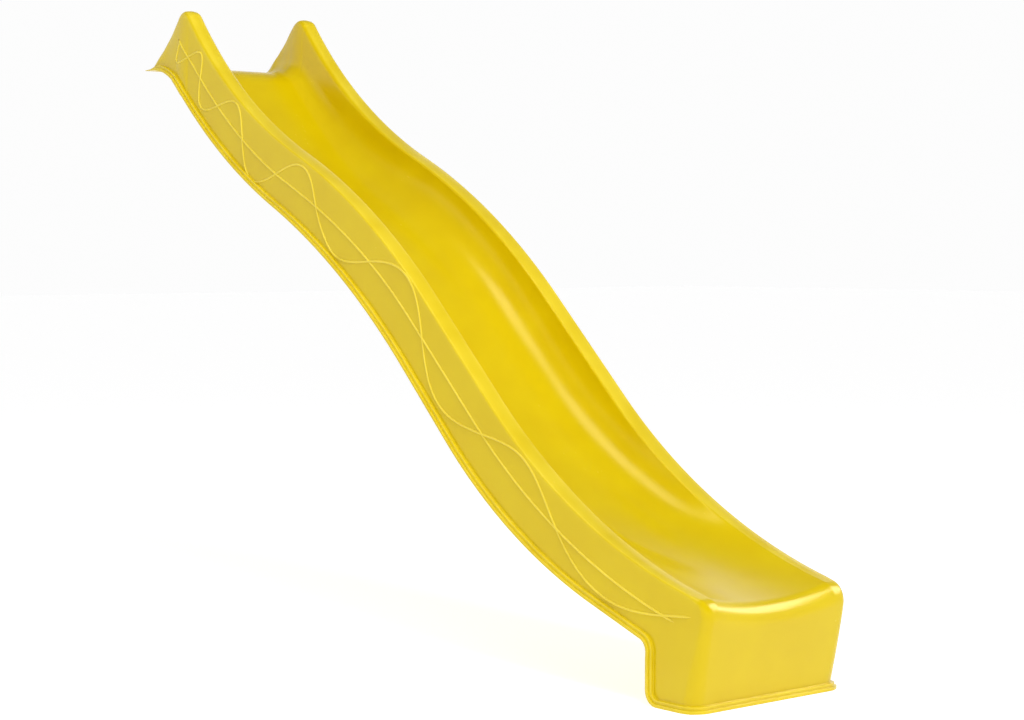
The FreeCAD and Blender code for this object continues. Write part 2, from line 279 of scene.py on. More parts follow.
class Profile:
    """The slide's side view: the paths of rail, bed and lower edge."""

    def __init__(self, s):
        self.ground = -s.deck_height
        self.top = s.wall
        bend = 1 - cos(radians(45))
        climb = s.hump_height - (s.flare_radius + s.hump_radius) * bend
        rail = Path(s.flange_back, self.top, 0).arc(s.flare_radius, 45).straight(climb / sin(radians(45)))
        rail.arc(s.hump_radius, -RAIL_START).wave(RAIL_WAVE)
        self.nose_start = rail.length
        self.nose_x = rail.x
        rail.arc(s.nose_radius, -90 - degrees(s.nose_lean))
        self.nose_end = rail.length
        rail.straight((rail.z - self.ground) / cos(s.nose_lean))
        self.rail = rail
        self.front = rail.x
        bed = Path(s.flange_back, self.top, 0).straight(s.crest_length)
        self.bed = bed.arc(s.crest_radius, -BED_START).wave(BED_WAVE).straight(0.4)
        edge = Path(s.flange_back, 0, 0).straight(-s.flange_back)
        edge.arc(s.head_lip_radius, -SKIRT_START).wave(SKIRT_WAVE)
        turn = radians(90 + edge.heading)
        tangent = s.foot_corner_radius * tan(turn / 2)
        back = self.front - s.foot_length
        reach = (back - edge.x) / cos(radians(edge.heading)) - tangent
        edge.straight(reach).arc(s.foot_corner_radius, -90)
        self.foot_top = edge.length
        edge.straight(edge.z - self.ground - s.foot_back_radius).arc(s.foot_back_radius, 0)
        self.edge = edge
        self.hump_front = rail.moves[3][1]

    def depth(self, x, z):
        """How far a point lies below the rail, square to it."""
        _, top, heading = self.rail.at_x(min(x, self.nose_x))
        return max(top - z, 0.0) * cos(radians(heading))


# ---------------------------------------------------------------- moulding

BED_CELLS, FILLET_CELLS, CHUTE_CELLS, INNER_CELLS = 10, 10, 7, 6
BAND_CELLS, OUTER_CELLS, WALL_CELLS = 4, 7, 16
NOSE_ROWS, FRONT_ROWS = 14, 16

# Cross-sections stand closer together behind the deck's edge, over the crest and before the nose.
CREST_X = (0.10, 0.19)
BEFORE_NOSE, CLOSE_STEP = 0.08, 0.3

# Stretches over which one shape turns into the next. The first group lies along X, the second runs back from
# the nose along the rail, and the third goes up from the flange.
BACK_END_X = (0.10, 0.135)
REAR_END_X = (0.06, 0.16)
TROUGH_X = (0.15, 0.8)
SQUARE_WALL_X = 1.95
FOOT_SPLIT_X = 1.80
HUMP_FADE = (0.02, 0.46)
LIP_GROWTH = 0.07
LEAN_FADE, EXIT_FADE, RIM_FADE, CROWN_FADE, CORNER_FADE = 0.16, 0.5, 0.6, 0.08, 0.035
CORNER_SHORT = 0.01
BACK_HEIGHT = (0.012, 0.08)
REAR_HEIGHT = (0.015, 0.12)

# The hump's back edge: how far it moves back, how far it curls in, and how deep the curl goes.
BACK_SHIFT, REAR_CURL, CURL_DEPTH = 0.006, 0.009, 0.075
BAND_CROWN = 0.0012
DRAFT_DEPTH = 0.17
INNER_RATIO = 1.15
STEEPEST_WALL = radians(85)
LEAST_COS = 0.3
LEAST_DISH, LEAST_FLAT = 0.02, 0.004
LEAST_BAND = 0.002

# The lip: the fillet above it, its steps at the flange's thin back edge, its reach under the front and the
# rounding of its edges.
LIP_FILLET = 0.004
THIN_LIP = (0.0019, 0.0034, 0.0040)
FRONT_LIP = 0.012
DRAFT_TAKEN = 0.005
LIP_EDGE = 0.0012


class Station:
    """One cross-section's place and roundings."""

    def __init__(self, s, profile, along, tail=None):
        self.x, self.z, heading = profile.rail.at(along)
        on_back = 1 - smooth(self.x, *BACK_END_X) if tail is None else 0.0
        self.back_shift = BACK_SHIFT * on_back * smooth(self.z, *BACK_HEIGHT)
        self.heading = heading
        self.normal = Vector((-sin(radians(heading)), 0, cos(radians(heading))))
        self.tail = tail
        _, self.bed_z, self.bed_heading = profile.bed.at_x(min(self.x, profile.nose_x))
        start = profile.nose_start
        to_nose = smooth(along, start - LEAN_FADE, start)
        slide_down = Vector((-sin(s.nose_lean), 0, -cos(s.nose_lean)))
        self.down = Vector((0, 0, -1)).lerp(slide_down, to_nose).normalized()
        if along > start:
            self.down = slide_down
        hump = 1 - smooth(self.x, *(profile.hump_front + far for far in HUMP_FADE))
        corner = smooth(along, start - CORNER_FADE, profile.nose_end - CORNER_SHORT)
        edge = mix(s.crisp_edge, s.soft_edge, hump)
        edge = mix(edge, s.back_edge, on_back)
        bottom = smooth(along, profile.nose_end, profile.rail.length)
        self.outer = mix(edge, mix(s.corner_radius, s.foot_corner, bottom), corner)
        inner = mix(edge * INNER_RATIO, s.soft_edge, hump)
        self.inner = mix(inner, s.exit_edge, smooth(along, start - EXIT_FADE, start))
        round_bed = mix(s.bed_radius, s.trough_radius, smooth(self.x, *TROUGH_X))
        opening = smooth(self.x, profile.nose_x - EXIT_FADE, profile.nose_x) ** 2
        self.dish = mix(round_bed, s.dish_radius, opening)
        self.half = mix(s.chute_half, s.exit_half, smooth(along, start - RIM_FADE, start))
        self.low = bottom
        self.crown = 1 - smooth(along, start - CROWN_FADE, start)
        self.fade = 1.0 if tail is None else 1.0 - bottom


def bowl(station, depth, dish, rail_cos, bed_cos):
    """(wall angle, straight wall's drop and run, outer y, flat left in the middle) for a bed rounding."""
    lift = station.inner / rail_cos + dish / bed_cos
    swing = min(1 - depth / lift, 1.0)
    angle = min(STEEPEST_WALL, pi / 2 - asin(max(swing, -1.0)))
    drop = max(depth - lift * (1 - cos(angle)), 0.0)
    run = drop * sqrt(rail_cos * bed_cos) / tan(angle) if drop else 0.0
    y = station.half + station.inner * tan(angle / 2)
    return angle, drop, run, y, y - (station.inner + dish) * sin(angle) - run


def inner_profile(station, depth):
    """From the middle plane to the rail's inner edge: (y, depth below the rail) pairs. The bed's rounding
    is made smaller where it would reach past the middle plane."""
    rail_cos = max(cos(radians(station.heading)), LEAST_COS) if station.tail is None else 1.0
    bed_cos = max(cos(radians(station.bed_heading)), LEAST_COS) if station.tail is None else 1.0
    dish = station.dish
    angle, wall_drop, wall_run, y, flat = bowl(station, depth, dish, rail_cos, bed_cos)
    if flat < LEAST_FLAT:
        low, high = LEAST_DISH, dish
        for _ in range(24):
            dish = (low + high) / 2
            angle, wall_drop, wall_run, y, flat = bowl(station, depth, dish, rail_cos, bed_cos)
            if flat < LEAST_FLAT:
                high = dish
            else:
                low = dish
    points = []
    for i in range(INNER_CELLS + 1):
        a = angle * i / INNER_CELLS
        points.append((y - station.inner * sin(a), station.inner * (1 - cos(a)) / rail_cos))
    y0, d0 = points[-1]
    for i in range(1, CHUTE_CELLS + 1):
        t = i / CHUTE_CELLS
        points.append((y0 - wall_run * t, d0 + wall_drop * t))
    y0, d0 = points[-1]
    for i in range(1, FILLET_CELLS + 1):
        a = angle * (1 - i / FILLET_CELLS)
        points.append((y0 - dish * (sin(angle) - sin(a)),
                       d0 + dish * (cos(a) - cos(angle)) / bed_cos))
    y0, d0 = points[-1]
    for i in range(1, BED_CELLS + 1):
        points.append((y0 * (1 - i / BED_CELLS), d0))
    return list(reversed(points))


def wall_y(s, profile, x, z, rear=0.0):
    """Outer face of the wall at a point of the side view. rear draws the hump's back edge in."""
    draft = min(profile.depth(x, z), DRAFT_DEPTH) * tan(s.wall_draft)
    return s.body_half + draft - rear


def rear_inset(station_x, depth, height):
    """How far the wall curls in towards the hump's back edge, with the distance from that edge."""
    behind = 1 - smooth(station_x, *REAR_END_X)
    curl = max(1 - depth / CURL_DEPTH, 0.0) ** 2
    return REAR_CURL * behind * curl * smooth(height, *REAR_HEIGHT)


def half_section(s, profile, station, root):
    """Points of the section's left half, from the middle plane to the lip's root."""
    if station.tail is None:
        depth = max(station.z - station.bed_z, 0.0)
    else:
        depth = (profile.rail.at_x(profile.nose_x)[1] - profile.bed.at_x(profile.nose_x)[1]) * station.fade
    place = Vector((station.x - station.back_shift, 0, station.z))
    height = (place - root).length
    points = [place + station.down * d + Vector((0, y + 0.8 * rear_inset(station.x, d * 0.7, height), 0))
              for y, d in inner_profile(station, depth)]
    inner_y = points[-1].y
    drop = Vector((0, 0, -1)).lerp(-station.normal, smooth(station.x, SQUARE_WALL_X, profile.nose_x))
    if station.tail is not None:
        drop = (-station.normal).lerp(Vector((-1, 0, 0)), station.low).normalized()
    scale = 1 / max(-drop.dot(station.normal), 0.3)
    outer = min(station.outer, height * 0.45)
    rear = rear_inset(station.x, outer, height)
    foot = place + drop * (outer * scale)
    side = wall_y(s, profile, foot.x, foot.z, rear)
    start = side - outer
    inner_y = min(inner_y, start - LEAST_BAND)
    points[-1].y = inner_y
    crown = min(BAND_CROWN, height * 0.02) * station.crown
    for i in range(1, BAND_CELLS + 1):
        t = i / BAND_CELLS
        lift = crown * 4 * t * (1 - t)
        points.append(place - drop * lift + Vector((0, mix(inner_y, start, t), 0)))
    for i in range(1, OUTER_CELLS + 1):
        a = (pi / 2) * i / OUTER_CELLS
        sink = drop * (outer * (1 - cos(a)) * scale)
        points.append(place + sink + Vector((0, start + outer * sin(a), 0)))
    top = points[-1].copy()
    for i in range(1, WALL_CELLS + 1):
        t = i / WALL_CELLS
        spot = Vector((mix(top.x, root.x, t), 0, mix(top.z, root.z, t)))
        below = height
        if station.tail is None:
            below = outer + (height - outer) * t * cos(radians(station.heading))
        spot.y = wall_y(s, profile, spot.x, spot.z, rear_inset(station.x, below, height))
        points.append(spot)
    return points


def lip_heights(s, x):
    """(lower lip's top, upper lip's top, root) above the lower edge, all thin at the flange's back edge."""
    t = smooth(x, s.flange_back, s.flange_back + LIP_GROWTH)
    full = (s.lip_step, 2 * s.lip_step, 2 * s.lip_step + LIP_FILLET)
    return tuple(mix(thin, thick, t) for thin, thick in zip(THIN_LIP, full))


def sections(s, profile):
    """Every cross-section from the flange's back edge over the nose to the ground."""
    rows = []
    alongs = []
    along = 0.0
    while along < profile.nose_start:
        alongs.append(along)
        x = profile.rail.at(along)[0]
        close = x < 0.0 or CREST_X[0] < x < CREST_X[1] or x > profile.nose_x - BEFORE_NOSE
        along += s.station_gap * (CLOSE_STEP if close else 1.0)
    alongs.append(profile.nose_start)
    split = profile.edge.find(FOOT_SPLIT_X)
    rail_split = profile.rail.find(FOOT_SPLIT_X)
    for along in alongs:
        station = Station(s, profile, along)
        if along <= rail_split:
            edge_along = profile.edge.find(station.x)
        else:
            t = (along - rail_split) / (profile.nose_start - rail_split)
            edge_along = mix(split, profile.foot_top, t)
        rows.append((station, edge_along))
    for i in range(1, NOSE_ROWS + 1):
        along = mix(profile.nose_start, profile.nose_end, i / NOSE_ROWS)
        rows.append((Station(s, profile, along, True), None))
    rail_end = profile.rail.length - (2 * s.lip_step + LIP_FILLET) / cos(s.nose_lean)
    for i in range(1, FRONT_ROWS + 1):
        along = mix(profile.nose_end, rail_end, i / FRONT_ROWS)
        rows.append((Station(s, profile, along, True), None))
    last = len(rows) - 1
    first = last - NOSE_ROWS - FRONT_ROWS
    grid = []
    for number, (station, edge_along) in enumerate(rows):
        if edge_along is None:
            edge_along = mix(profile.foot_top, profile.edge.length, (number - first) / (last - first))
        x, z, heading = profile.edge.at(edge_along)
        up = Vector((-sin(radians(heading)), 0, cos(radians(heading))))
        root = Vector((x, 0, z)) + up * lip_heights(s, station.x)[2]
        if number == last:
            station.fade = 0.0
        half = half_section(s, profile, station, root)
        left = [Vector(p) for p in half]
        right = [Vector((p.x, -p.y, p.z)) for p in reversed(half[1:])]
        grid.append((right + left, station, up))
    return grid


def sheet_normals(grid):
    """Outward normals of the sheet at every point, from its neighbours."""
    rows = [g[0] for g in grid]
    high, wide = len(rows), len(rows[0])
    normals = []
    for i in range(high):
        line = []
        for j in range(wide):
            down = rows[min(i + 1, high - 1)][j] - rows[max(i - 1, 0)][j]
            over = rows[i][min(j + 1, wide - 1)] - rows[i][max(j - 1, 0)]
            line.append(down.cross(over).normalized())
        normals.append(line)
    return normals


def rail_wear_and_highlight(column):
    """How pale the shell is painted, counted in columns from the rail's inner edge: most along both edges.
    The paleness stands partly for rubbing wear and partly for a painted highlight on the rail band and its
    creases.
    """
    if column < -2 or column > BAND_CELLS + OUTER_CELLS:
        return 0.0
    if column in (-1, 0) or BAND_CELLS <= column <= BAND_CELLS + 3:
        return 0.8
    return 0.55 if column < BAND_CELLS else 0.25


def rounded(corner_in, corner, corner_out, radius, steps=3):
    """Points of a small rounding at corner, between its two neighbours."""
    a, b = (Vector(corner_in) - Vector(corner)), (Vector(corner_out) - Vector(corner))
    cut = min(radius, a.length * 0.45, b.length * 0.45)
    start, end = Vector(corner) + a.normalized() * cut, Vector(corner) + b.normalized() * cut
    return [start.lerp(Vector(corner), t).lerp(Vector(corner).lerp(end, t), t)
            for t in (k / steps for k in range(steps + 1))]


def lip_profile(s, x, reach):
    """The stepped lip's outline as (out, up) pairs, from just below the root to the wall's inner foot."""
    low, high, root = lip_heights(s, x)
    upper, lower = reach
    fine = min(LIP_EDGE, low * 0.35)
    corners = [(0, root), (0, high), (upper, high), (upper, low), (lower, low), (lower, 0), (-s.wall, 0)]
    radii = [None, (root - high) * 1.6, fine, fine * 0.6, fine, fine]
    points = []
    for k in range(1, 6):
        points += rounded(corners[k - 1], corners[k], corners[k + 1], radii[k])
    points.append(Vector(corners[6]))
    return points


def build_shell(s, profile):
    """The moulding as one closed mesh: outer sheet, inner sheet and the stepped lip between them."""
    grid = sections(s, profile)
    normals = sheet_normals(grid)
    bm = bmesh.new()
    # This layer marks where the shell is painted pale: partly rubbing wear, partly painted highlight along
    # the rail band and lip edges.
    wear_and_highlight_layer = bm.verts.layers.float.new("wear_and_highlight")
    outer = [[bm.verts.new(p) for p in row] for row, _, _ in grid]
    middle = len(outer[0]) // 2
    crease = BED_CELLS + FILLET_CELLS + CHUTE_CELLS + INNER_CELLS
    # The rail band and its edges are painted pale, except over the nose and front: partly rubbing wear,
    # partly painted highlight.
    for row, (_, station, _) in zip(outer, grid):
        rub_and_highlight = 1.0 if station.tail is None else 0.0
        for j, vert in enumerate(row):
            vert[wear_and_highlight_layer] = rub_and_highlight * rail_wear_and_highlight(abs(j - middle) - crease)
    inner = [[bm.verts.new(p - n * s.wall) for p, n in zip(row, line)]
             for (row, _, _), line in zip(grid, normals)]
    high, wide = len(grid), len(grid[0][0])
    for i in range(high - 1):
        for j in range(wide - 1):
            bm.faces.new((outer[i][j], outer[i + 1][j], outer[i + 1][j + 1], outer[i][j + 1]))
            bm.faces.new((inner[i][j], inner[i][j + 1], inner[i + 1][j + 1], inner[i + 1][j]))
    rim = [(i, 0) for i in range(high)] + [(high - 1, j) for j in range(1, wide)]
    rim += [(i, wide - 1) for i in range(high - 2, -1, -1)]
    strips = []
    for i, j in rim:
        row, station, up = grid[i]
        away = Vector((0, 1 if j else -1, 0))
        if i == high - 1:
            away = Vector((normals[i][j].x, normals[i][j].y, 0)).normalized()
            up = Vector((0, 0, 1))
        edge_y = abs(row[j].y)
        draft = max(edge_y - s.body_half, 0.0)
        frontness = smooth(abs(away.x), 0.2, 0.9) if i == high - 1 else 0.0
        lower = mix(s.lower_lip - min(draft, DRAFT_TAKEN), FRONT_LIP, frontness)
        upper = lower * s.upper_lip / s.lower_lip
        shape = lip_profile(s, station.x, (upper, lower))
        base = row[j] - up * lip_heights(s, station.x)[2]
        ring = [outer[i][j]] + [bm.verts.new(base + away * p[0] + up * p[1]) for p in shape]
        # The lip's edges are painted pale: partly rubbing wear, partly a painted highlight along the lip.
        for k, vert in enumerate(ring[1:]):
            vert[wear_and_highlight_layer] = 0.8 if 4 <= k < 8 or 12 <= k < 16 else 0.1
        ring.append(inner[i][j])
        strips.append(ring)
    for one, two in zip(strips, strips[1:]):
        for k in range(len(one) - 1):
            bm.faces.new((one[k], one[k + 1], two[k + 1], two[k]))
    for end in (strips[0], strips[-1]):
        bm.faces.new(end)
    for j in range(wide - 1):
        bm.faces.new((outer[0][j], outer[0][j + 1], inner[0][j + 1], inner[0][j]))
    return bm


def cut_holes(piece, places, radius):
    """Cuts upright holes through the piece."""
    bm = bmesh.new()
    for x, y, z in places:
        bmesh.ops.create_cone(bm, cap_ends=True, segments=48, radius1=radius, radius2=radius, depth=0.03,
                              matrix=Matrix.Translation((x, y, z)))
    mesh = bpy.data.meshes.new("hole_cutter")
    bm.to_mesh(mesh)
    bm.free()
    cutter = bpy.data.objects.new("hole_cutter", mesh)
    bpy.context.scene.collection.objects.link(cutter)
    cut = piece.modifiers.new("holes", "BOOLEAN")
    cut.operation = "DIFFERENCE"
    cut.object = cutter
    cut.solver = "EXACT"
    shaped = bpy.data.meshes.new_from_object(piece.evaluated_get(bpy.context.evaluated_depsgraph_get()))
    piece.modifiers.clear()
    piece.data = shaped
    bpy.data.objects.remove(cutter)


# ---------------------------------------------------------------- relief

RELIEF_STEP = 0.003
RELIEF_START = 0.012
LINE_END, WAVE_END = 0.048, 0.006
FIRST_TURN, TURN_GROWTH = 0.047, 0.016
RIB_ROOT = 0.0008
RIB_CELLS = 6
RIB_WALL_HEIGHT = 0.16


def bump_at(value, middle, width):
    """An even bump of height 1."""
    return exp(-((value - middle) / width) ** 2)


def relief_line(r, profile, swing_on):
    """Points (x, z) of the centre line or of the wave about it, in the side view."""
    begin = profile.rail.find(profile.hump_front) + RELIEF_START
    end = profile.nose_start - (WAVE_END if swing_on else LINE_END)
    count = int((end - begin) / RELIEF_STEP)
    line = []
    for k in range(count + 1):
        x, z, heading = profile.rail.at(begin + k * RELIEF_STEP)
        depth = r.centre_depth + 0.013 * bump_at(x, 0.72, 0.33)
        depth += 0.006 * (1 - smooth(k * RELIEF_STEP, 0, 0.15))
        down = Vector((sin(radians(heading)), -cos(radians(heading))))
        line.append((Vector((x, z)) + down * depth, down))
    if not swing_on:
        return [tuple(spot) for spot, _ in line]
    points = []
    along = 0.0
    for k, (spot, down) in enumerate(line):
        along += (spot - line[k - 1][0]).length if k else 0.0
        late = max(along - 0.018 * bump_at(along, 0, 0.2) + 0.017 * bump_at(along, 0.85, 0.07)
                   + 0.016 * smooth(along, 1.7, 2.05), 0.0)
        turns = (-FIRST_TURN + sqrt(FIRST_TURN ** 2 + 4 * TURN_GROWTH * late)) / (2 * TURN_GROWTH)
        size = r.swing * mix(0.78, 1.08, smooth(along, 0.0, 0.6)) * mix(1.0, 0.72, smooth(along, 1.6, 2.25))
        points.append(tuple(spot + down * (size * sin(pi * turns))))
    return points


def build_rib(s, r, profile, line, side):
    """A low half-round rib along the line, standing on the outer wall and sunk a little into it."""
    bm = bmesh.new()
    rings = []
    count = len(line)
    for k, (x, z) in enumerate(line):
        x0, z0 = line[max(k - 1, 0)]
        x1, z1 = line[min(k + 1, count - 1)]
        reach = hypot(x1 - x0, z1 - z0) or 1.0
        across = Vector((-(z1 - z0) / reach, 0, (x1 - x0) / reach))
        taper = smooth(min(k, count - 1 - k), -0.5, 5)
        ring = []
        for c in range(RIB_CELLS + 1):
            a = pi * c / RIB_CELLS
            spot = Vector((x, 0, z)) + across * (cos(a) * r.rib_width / 2 * mix(0.3, 1, taper))
            depth = profile.depth(spot.x, spot.z)
            face = wall_y(s, profile, spot.x, spot.z, rear_inset(spot.x, depth, RIB_WALL_HEIGHT))
            spot.y = side * (face - RIB_ROOT + (r.rib_height * taper + RIB_ROOT) * sin(a))
            ring.append(bm.verts.new(spot))
        rings.append(ring)
    for one, two in zip(rings, rings[1:]):
        for c in range(RIB_CELLS):
            bm.faces.new((one[c], one[c + 1], two[c + 1], two[c]))
        bm.faces.new((one[-1], one[0], two[0], two[-1]))
    bm.faces.new(rings[0])
    bm.faces.new(rings[-1])
    return bm


# ---------------------------------------------------------------- foot lugs

LUG_LENGTH, LUG_WIDTH, LUG_THICKNESS = 0.060, 0.046, 0.005
LUG_HOLE, LUG_CORNER, LUG_EDGE, LUG_IN_WALL = 0.0055, 0.006, 0.0006, 0.004


def build_lug(centre):
    """A flat rounded plate with a round hole, one quad band between outline and hole."""
    bm = bmesh.new()
    steps = 48
    loops = []
    for z, shrink in ((0, LUG_EDGE), (LUG_EDGE, 0), (LUG_THICKNESS - LUG_EDGE, 0), (LUG_THICKNESS, LUG_EDGE)):
        ring = []
        bore = []
        for k in range(steps):
            a = 2 * pi * (k + 0.5) / steps
            half_x, half_y = LUG_LENGTH / 2 - LUG_CORNER, LUG_WIDTH / 2 - LUG_CORNER
            dx, dy = cos(a), sin(a)
            grow = LUG_CORNER - shrink
            bore_radius = LUG_HOLE + shrink
            cx = half_x if dx > 0 else -half_x
            cy = half_y if dy > 0 else -half_y
            ring.append(bm.verts.new(Vector(centre) + Vector((cx + grow * dx, cy + grow * dy, z))))
            bore.append(bm.verts.new(Vector(centre) + Vector((bore_radius * dx, bore_radius * dy, z))))
        loops.append((ring, bore))
    for (ring, bore), (ring2, bore2) in zip(loops, loops[1:]):
        for k in range(steps):
            m = (k + 1) % steps
            bm.faces.new((ring[k], ring[m], ring2[m], ring2[k]))
            bm.faces.new((bore[m], bore[k], bore2[k], bore2[m]))
    for ring, bore in (loops[0], loops[-1]):
        for k in range(steps):
            m = (k + 1) % steps
            bm.faces.new((ring[k], bore[k], bore[m], ring[m]))
    return bm


# ---------------------------------------------------------------- materials

def add_node(tree, kind, links=(), **settings):
    """Adds a node. settings name its attributes or, where it has none, its inputs."""
    node = tree.nodes.new(kind)
    for name, value in settings.items():
        if hasattr(node, name):
            setattr(node, name, value)
        else:
            node.inputs[name.replace("_", " ")].default_value = value
    for source, target in links:
        tree.links.new(source, node.inputs[target])
    return node


def new_material(name):
    material = bpy.data.materials.new(name)
    material.use_nodes = True
    tree = material.node_tree
    tree.nodes.clear()
    output = add_node(tree, "ShaderNodeOutputMaterial")
    shader = add_node(tree, "ShaderNodeBsdfPrincipled")
    tree.links.new(shader.outputs["BSDF"], output.inputs["Surface"])
    return material, tree, shader


def polyethylene(name, body, cloud, pale, dull):
    """The shared make-up of the moulded plastic: body colour, cloudy second colour and lowest roughness, with
    a pale colour blended in that stands partly for rubbing wear and partly for painted highlight.
    """
    material, tree, shader = new_material(name)
    where = add_node(tree, "ShaderNodeTexCoord").outputs["Object"]
    cloud_size, streak_width, sink_size, grain_size = 0.11, 0.0035, 0.15, 0.0022
    clouds = add_node(tree, "ShaderNodeTexNoise", [(where, "Vector")],
                      Scale=1 / cloud_size, Detail=2.0, Roughness=0.45)
    tint = add_node(tree, "ShaderNodeValToRGB", [(clouds.outputs["Fac"], "Fac")])
    tint.color_ramp.elements[0].position = 0.25
    tint.color_ramp.elements[0].color = cloud
    tint.color_ramp.elements[1].position = 0.75
    tint.color_ramp.elements[1].color = body
    # Where the shell's layer is set, the pale colour is painted in: partly rubbing wear, partly painted
    # highlight.
    wear_and_highlight_mask = add_node(tree, "ShaderNodeAttribute", attribute_name="wear_and_highlight").outputs["Fac"]
    patchy_wear_and_highlight = add_node(tree, "ShaderNodeMath", [(wear_and_highlight_mask, 0), (clouds.outputs["Fac"], 1)], operation="MULTIPLY")
    blend = add_node(tree, "ShaderNodeMix", [(patchy_wear_and_highlight.outputs[0], "Factor")], data_type="RGBA")
    tree.links.new(tint.outputs["Color"], blend.inputs["A"])
    blend.inputs["B"].default_value = pale
    tree.links.new(blend.outputs["Result"], shader.inputs["Base Color"])
    along = add_node(tree, "ShaderNodeMapping", [(where, "Vector")])
    along.inputs["Rotation"].default_value = (0, -radians(34), 0)
    along.inputs["Scale"].default_value = (0.02, 1.0, 0.3)
    streaks = add_node(tree, "ShaderNodeTexNoise", [(along.outputs["Vector"], "Vector")],
                       Scale=1 / streak_width, Detail=2.0)
    gloss = add_node(tree, "ShaderNodeMapRange", [(clouds.outputs["Fac"], "Value")],
                     From_Min=0.25, From_Max=0.75, To_Min=dull, To_Max=dull + 0.05)
    rubbed_and_sheen = add_node(tree, "ShaderNodeMapRange", [(streaks.outputs["Fac"], "Value")],
                      From_Min=0.45, From_Max=0.75, To_Min=0.0, To_Max=0.035)
    rough = add_node(tree, "ShaderNodeMath", [(gloss.outputs["Result"], 0), (rubbed_and_sheen.outputs["Result"], 1)],
                     operation="ADD")
    tree.links.new(rough.outputs[0], shader.inputs["Roughness"])
    sink = add_node(tree, "ShaderNodeTexNoise", [(where, "Vector")], Scale=1 / sink_size, Detail=0.0)
    broad = add_node(tree, "ShaderNodeBump", [(sink.outputs["Fac"], "Height")], Strength=0.5, Distance=0.002)
    grain = add_node(tree, "ShaderNodeTexNoise", [(where, "Vector")], Scale=1 / grain_size, Detail=1.0)
    over = [(grain.outputs["Fac"], "Height"), (broad.outputs["Normal"], "Normal")]
    fine = add_node(tree, "ShaderNodeBump", over, Strength=0.03, Distance=0.0002)
    tree.links.new(fine.outputs["Normal"], shader.inputs["Normal"])
    shader.inputs["IOR"].default_value = 1.54
    shader.inputs["Specular Tint"].default_value = (1.0, 0.9, 0.45, 1.0)
    shader.inputs["Subsurface Weight"].default_value = 0.06
    shader.inputs["Subsurface Radius"].default_value = (1.0, 0.75, 0.1)
    shader.inputs["Subsurface Scale"].default_value = 0.005
    return material


def moulded_polyethylene(colours):
    """High-density polyethylene, moulded in one shot against a polished tool: a waxy gloss over a body that
    lets some light in, with faint flow clouds, shallow sink marks and hairline rubs along the slide. Along
    the rail band and the lip edges a pale colour is painted in, partly as rubbing wear and partly as painted
    highlight."""
    body = linear(colours.moulding)
    return polyethylene("moulded_polyethylene", body, (body[0] * 0.95, body[1] * 0.92, body[2], 1),
                        linear(colours.rubbed_and_sheen), 0.2)


def rubbed_and_highlit_polyethylene(colours):
    """The same moulded polyethylene on raised lines, painted paler: partly where hands and stacking have
    rubbed it, partly a painted highlight along the lines.
    """
    pale = linear(colours.rubbed_and_sheen)
    return polyethylene("rubbed_and_highlit_polyethylene", pale, (pale[0] * 0.9, pale[1] * 0.87, pale[2] * 0.7, 1),
                        pale, 0.26)


def bright_stainless(colours):
    """Stainless steel, cold headed and turned: bright, with fine round tool marks and dull rubbed spots."""
    material, tree, shader = new_material("bright_stainless_steel")
    where = add_node(tree, "ShaderNodeTexCoord").outputs["Object"]
    shader.inputs["Metallic"].default_value = 1.0
    grain_size = 0.0012
    grain = add_node(tree, "ShaderNodeTexNoise", [(where, "Vector")], Scale=1 / grain_size, Detail=3.0)
    tone = add_node(tree, "ShaderNodeValToRGB", [(grain.outputs["Fac"], "Fac")])
    steel = linear(colours.steel)
    tone.color_ramp.elements[0].position = 0.35
    tone.color_ramp.elements[0].color = (steel[0] * 0.8, steel[1] * 0.8, steel[2] * 0.8, 1)
    tone.color_ramp.elements[1].position = 0.65
    tone.color_ramp.elements[1].color = steel
    tree.links.new(tone.outputs["Color"], shader.inputs["Base Color"])
    gloss = add_node(tree, "ShaderNodeMapRange", [(grain.outputs["Fac"], "Value")],
                     From_Min=0.3, From_Max=0.7, To_Min=0.22, To_Max=0.38)
    tree.links.new(gloss.outputs["Result"], shader.inputs["Roughness"])
    bump = add_node(tree, "ShaderNodeBump", [(grain.outputs["Fac"], "Height")], Strength=0.2, Distance=0.0001)
    tree.links.new(bump.outputs["Normal"], shader.inputs["Normal"])
    return material


def stage_paper(colours):
    """Matt backdrop paper."""
    material, tree, shader = new_material("stage_paper")
    shader.inputs["Base Color"].default_value = linear(colours.floor)
    shader.inputs["Roughness"].default_value = 0.9
    shader.inputs["Specular IOR Level"].default_value = 0.1
    shader.inputs["Emission Color"].default_value = (1, 1, 1, 1)
    shader.inputs["Emission Strength"].default_value = 0.74
    return material


# ---------------------------------------------------------------- operators

class SLIDE_OT_moulding(bpy.types.Operator):
    """Builds the one-piece shell with its chute, rails, flange, lips and foot"""
    bl_idname = "slide.moulding"
    bl_label = "Slide Moulding"

    def execute(self, context):
        s = context.scene.slide_shape
        profile = Profile(s)
        material = moulded_polyethylene(context.scene.slide_colours)
        bm = build_shell(s, profile)
        shell = new_piece("slide_shell", bm, material, radians(40))
        screws = [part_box("head_screw_" + side) for side in ("left", "centre", "right")]
        places = [((low[0] + high[0]) / 2, (low[1] + high[1]) / 2, 0.002) for low, high in screws]
        cut_holes(shell, places, SCREW_HOLE)
        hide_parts("slide_moulding")
        return {"FINISHED"}


